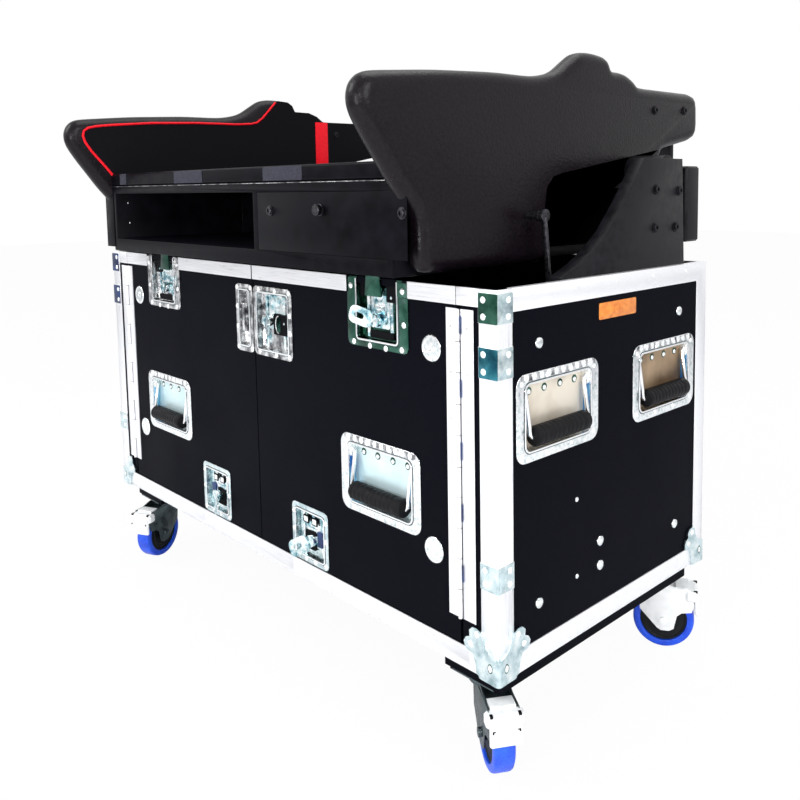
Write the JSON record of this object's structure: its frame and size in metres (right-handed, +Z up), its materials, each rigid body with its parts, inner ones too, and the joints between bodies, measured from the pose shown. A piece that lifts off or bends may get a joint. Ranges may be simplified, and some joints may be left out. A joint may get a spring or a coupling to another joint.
{
  "type": "mixer flight case",
  "caption": "Wheeled flight case with hinged front doors and a tilting padded cradle that carries a mixing desk.",
  "frame": {"origin": "on the floor under the middle of the overall box", "axes": "+X to the right seen from the front, +Y from the doors to the back, +Z up"},
  "size_m": [1.3473, 0.951, 1.171],
  "materials": {
    "panel": "black textured laminate",
    "aluminium": "satin anodised",
    "zinc": "bright zinc plate",
    "grip": "matt",
    "castor_metal": "dark satin",
    "wheel": "smooth elastic tyre",
    "pedal": "white gloss",
    "leather": "padded grain",
    "cradle_board": "satin black",
    "bracket": "satin black",
    "chrome": "polished"
  },
  "bodies": {
    "case": {"base_board": "panel", "bottom_frame": "aluminium", "upper_frame": "aluminium", "front_post_left": "aluminium", "front_post_right": "aluminium", "side_panel_left": "panel", "side_panel_right": "panel", "back_panel": "panel", "door_jamb_left": "panel", "door_jamb_right": "panel", "bracket_left": "bracket", "bracket_right": "bracket", "side_handle_dish_left_front": "zinc", "side_handle_dish_left_rear": "zinc", "side_handle_dish_right_front": "zinc", "side_handle_dish_right_rear": "zinc"},
    "door_left": {"door_left": "panel", "hinge_leaf_left": "aluminium", "door_handle_dish_left": "zinc", "top_latch_dish_left": "zinc", "centre_latch_keeper": "zinc", "bottom_latch_dish_left": "zinc"},
    "door_right": {"door_right": "panel", "hinge_leaf_right": "aluminium", "door_handle_dish_right": "zinc", "top_latch_dish_right": "zinc", "centre_latch_dish": "zinc", "bottom_latch_dish_right": "zinc"},
    "side_handle_bail_right_front": {"side_handle_bail_right_front": "grip"},
    "side_handle_bail_right_rear": {"side_handle_bail_right_rear": "grip"},
    "door_handle_bail_right": {"door_handle_bail_right": "grip"},
    "side_handle_bail_left_front": {"side_handle_bail_left_front": "grip"},
    "side_handle_bail_left_rear": {"side_handle_bail_left_rear": "grip"},
    "door_handle_bail_left": {"door_handle_bail_left": "grip"},
    "top_latch_butterfly_right": {"top_latch_butterfly_right": "zinc"},
    "top_latch_butterfly_left": {"top_latch_butterfly_left": "zinc"},
    "centre_latch_butterfly": {"centre_latch_butterfly": "zinc"},
    "bottom_latch_butterfly_right": {"bottom_latch_butterfly_right": "zinc"},
    "bottom_latch_butterfly_left": {"bottom_latch_butterfly_left": "zinc"},
    "caster_fork_right_front": {"caster_fork_right_front": "castor_metal"},
    "caster_wheel_right_front": {"caster_wheel_right_front": "wheel"},
    "caster_brake_right_front": {"caster_brake_right_front": "pedal"},
    "caster_fork_right_rear": {"caster_fork_right_rear": "castor_metal"},
    "caster_wheel_right_rear": {"caster_wheel_right_rear": "wheel"},
    "caster_brake_right_rear": {"caster_brake_right_rear": "pedal"},
    "caster_fork_left_front": {"caster_fork_left_front": "castor_metal"},
    "caster_wheel_left_front": {"caster_wheel_left_front": "wheel"},
    "caster_brake_left_front": {"caster_brake_left_front": "pedal"},
    "caster_fork_left_rear": {"caster_fork_left_rear": "castor_metal"},
    "caster_wheel_left_rear": {"caster_wheel_left_rear": "wheel"},
    "caster_brake_left_rear": {"caster_brake_left_rear": "pedal"},
    "cradle": {"cradle_tray": "cradle_board", "cheek_left": "leather", "cheek_right": "leather", "front_rail": "cradle_board", "compartment_panel": "cradle_board"},
    "strut_cylinder_right": {"strut_cylinder_right": "castor_metal"},
    "strut_rod_right": {"strut_rod_right": "chrome"},
    "strut_cylinder_left": {"strut_cylinder_left": "castor_metal"},
    "strut_rod_left": {"strut_rod_left": "chrome"}
  },
  "joints": [
    {"name": "door_right", "type": "hinge", "parent": "case", "child": "door_right", "pos_m": [0.5785, -0.303, 0.5025], "axis": [0, 0, 1], "range_deg": [0, 165]},
    {"name": "door_left", "type": "hinge", "parent": "case", "child": "door_left", "pos_m": [-0.5785, -0.303, 0.5025], "axis": [0, 0, -1], "range_deg": [0, 165]},
    {"name": "side_handle_bail_right_front", "type": "hinge", "parent": "case", "child": "side_handle_bail_right_front", "pos_m": [0.6478, -0.1535, 0.617], "axis": [0, -1, 0], "range_deg": [0, 90], "stiffness_Nm_per_rad": 0.1},
    {"name": "side_handle_bail_right_rear", "type": "hinge", "parent": "case", "child": "side_handle_bail_right_rear", "pos_m": [0.6478, 0.1602, 0.617], "axis": [0, -1, 0], "range_deg": [0, 90], "stiffness_Nm_per_rad": 0.1},
    {"name": "door_handle_bail_right", "type": "hinge", "parent": "door_right", "child": "door_handle_bail_right", "pos_m": [0.383, -0.293, 0.47], "axis": [-1, 0, 0], "range_deg": [0, 90], "stiffness_Nm_per_rad": 0.1},
    {"name": "side_handle_bail_left_front", "type": "hinge", "parent": "case", "child": "side_handle_bail_left_front", "pos_m": [-0.6478, -0.1535, 0.617], "axis": [0, 1, 0], "range_deg": [0, 90], "stiffness_Nm_per_rad": 0.1},
    {"name": "side_handle_bail_left_rear", "type": "hinge", "parent": "case", "child": "side_handle_bail_left_rear", "pos_m": [-0.6478, 0.1602, 0.617], "axis": [0, 1, 0], "range_deg": [0, 90], "stiffness_Nm_per_rad": 0.1},
    {"name": "door_handle_bail_left", "type": "hinge", "parent": "door_left", "child": "door_handle_bail_left", "pos_m": [-0.383, -0.293, 0.47], "axis": [-1, 0, 0], "range_deg": [0, 90], "stiffness_Nm_per_rad": 0.1},
    {"name": "top_latch_butterfly_right", "type": "hinge", "parent": "door_right", "child": "top_latch_butterfly_right", "pos_m": [0.38, -0.3015, 0.70785], "axis": [0, 1, 0], "range_deg": [0, 180]},
    {"name": "top_latch_butterfly_left", "type": "hinge", "parent": "door_left", "child": "top_latch_butterfly_left", "pos_m": [-0.38, -0.3015, 0.70785], "axis": [0, -1, 0], "range_deg": [0, 180]},
    {"name": "centre_latch_butterfly", "type": "hinge", "parent": "door_right", "child": "centre_latch_butterfly", "pos_m": [0.05, -0.3015, 0.671], "axis": [0, 1, 0], "range_deg": [0, 180]},
    {"name": "bottom_latch_butterfly_right", "type": "hinge", "parent": "door_right", "child": "bottom_latch_butterfly_right", "pos_m": [0.174, -0.3015, 0.2619], "axis": [0, 1, 0], "range_deg": [0, 180]},
    {"name": "bottom_latch_butterfly_left", "type": "hinge", "parent": "door_left", "child": "bottom_latch_butterfly_left", "pos_m": [-0.174, -0.3015, 0.2619], "axis": [0, -1, 0], "range_deg": [0, 180]},
    {"name": "caster_swivel_right_front", "type": "hinge", "parent": "case", "child": "caster_fork_right_front", "pos_m": [0.573, -0.2315, 0.141], "axis": [0, 0, 1], "continuous": true},
    {"name": "caster_roll_right_front", "type": "hinge", "parent": "caster_fork_right_front", "child": "caster_wheel_right_front", "pos_m": [0.60235, -0.25056, 0.06], "axis": [0.5446, 0.8387, 0], "continuous": true},
    {"name": "caster_brake_right_front", "type": "hinge", "parent": "caster_fork_right_front", "child": "caster_brake_right_front", "pos_m": [0.625, -0.26527, 0.122], "axis": [-0.5446, -0.8387, 0], "range_deg": [0, 12], "stiffness_Nm_per_rad": 0.5},
    {"name": "caster_swivel_right_rear", "type": "hinge", "parent": "case", "child": "caster_fork_right_rear", "pos_m": [0.573, 0.2382, 0.141], "axis": [0, 0, 1], "continuous": true},
    {"name": "caster_roll_right_rear", "type": "hinge", "parent": "caster_fork_right_rear", "child": "caster_wheel_right_rear", "pos_m": [0.60331, 0.2557, 0.06], "axis": [-0.5, 0.866, 0], "continuous": true},
    {"name": "caster_brake_right_rear", "type": "hinge", "parent": "caster_fork_right_rear", "child": "caster_brake_right_rear", "pos_m": [0.62669, 0.2692, 0.122], "axis": [0.5, -0.866, 0], "range_deg": [0, 12], "stiffness_Nm_per_rad": 0.5},
    {"name": "caster_swivel_left_front", "type": "hinge", "parent": "case", "child": "caster_fork_left_front", "pos_m": [-0.573, -0.2315, 0.141], "axis": [0, 0, 1], "continuous": true},
    {"name": "caster_roll_left_front", "type": "hinge", "parent": "caster_fork_left_front", "child": "caster_wheel_left_front", "pos_m": [-0.55821, -0.26322, 0.06], "axis": [0.9063, 0.4226, 0], "continuous": true},
    {"name": "caster_brake_left_front", "type": "hinge", "parent": "caster_fork_left_front", "child": "caster_brake_left_front", "pos_m": [-0.5468, -0.28769, 0.122], "axis": [-0.9063, -0.4226, 0], "range_deg": [0, 12], "stiffness_Nm_per_rad": 0.5},
    {"name": "caster_swivel_left_rear", "type": "hinge", "parent": "case", "child": "caster_fork_left_rear", "pos_m": [-0.573, 0.2382, 0.141], "axis": [0, 0, 1], "continuous": true},
    {"name": "caster_roll_left_rear", "type": "hinge", "parent": "caster_fork_left_rear", "child": "caster_wheel_left_rear", "pos_m": [-0.60235, 0.25726, 0.06], "axis": [-0.5446, -0.8387, 0], "continuous": true},
    {"name": "caster_brake_left_rear", "type": "hinge", "parent": "caster_fork_left_rear", "child": "caster_brake_left_rear", "pos_m": [-0.625, 0.27197, 0.122], "axis": [0.5446, 0.8387, 0], "range_deg": [0, 12], "stiffness_Nm_per_rad": 0.5},
    {"name": "cradle_tilt", "type": "hinge", "parent": "case", "child": "cradle", "pos_m": [0, 0.2185, 0.955], "axis": [-1, 0, 0], "range_deg": [0, 45]},
    {"name": "strut_pivot_right", "type": "hinge", "parent": "case", "child": "strut_cylinder_right", "pos_m": [0.583, -0.0395, 0.3], "axis": [-1, 0, 0], "range_deg": [0, 6]},
    {"name": "strut_slide_right", "type": "slide", "parent": "strut_cylinder_right", "child": "strut_rod_right", "axis": [0, -0.1063, 0.9943], "range_m": [0, 0.25]},
    {"name": "strut_pivot_left", "type": "hinge", "parent": "case", "child": "strut_cylinder_left", "pos_m": [-0.583, -0.0395, 0.3], "axis": [-1, 0, 0], "range_deg": [0, 6]},
    {"name": "strut_slide_left", "type": "slide", "parent": "strut_cylinder_left", "child": "strut_rod_left", "axis": [0, -0.1063, 0.9943], "range_m": [0, 0.25]}
  ],
  "couplings": [
    {"joint": "strut_pivot_right", "follows": "cradle_tilt", "ratio": 0.10284},
    {"joint": "strut_slide_right", "follows": "cradle_tilt", "m_per_rad": 0.31221},
    {"joint": "strut_pivot_left", "follows": "cradle_tilt", "ratio": 0.10284},
    {"joint": "strut_slide_left", "follows": "cradle_tilt", "m_per_rad": 0.31221}
  ]
}
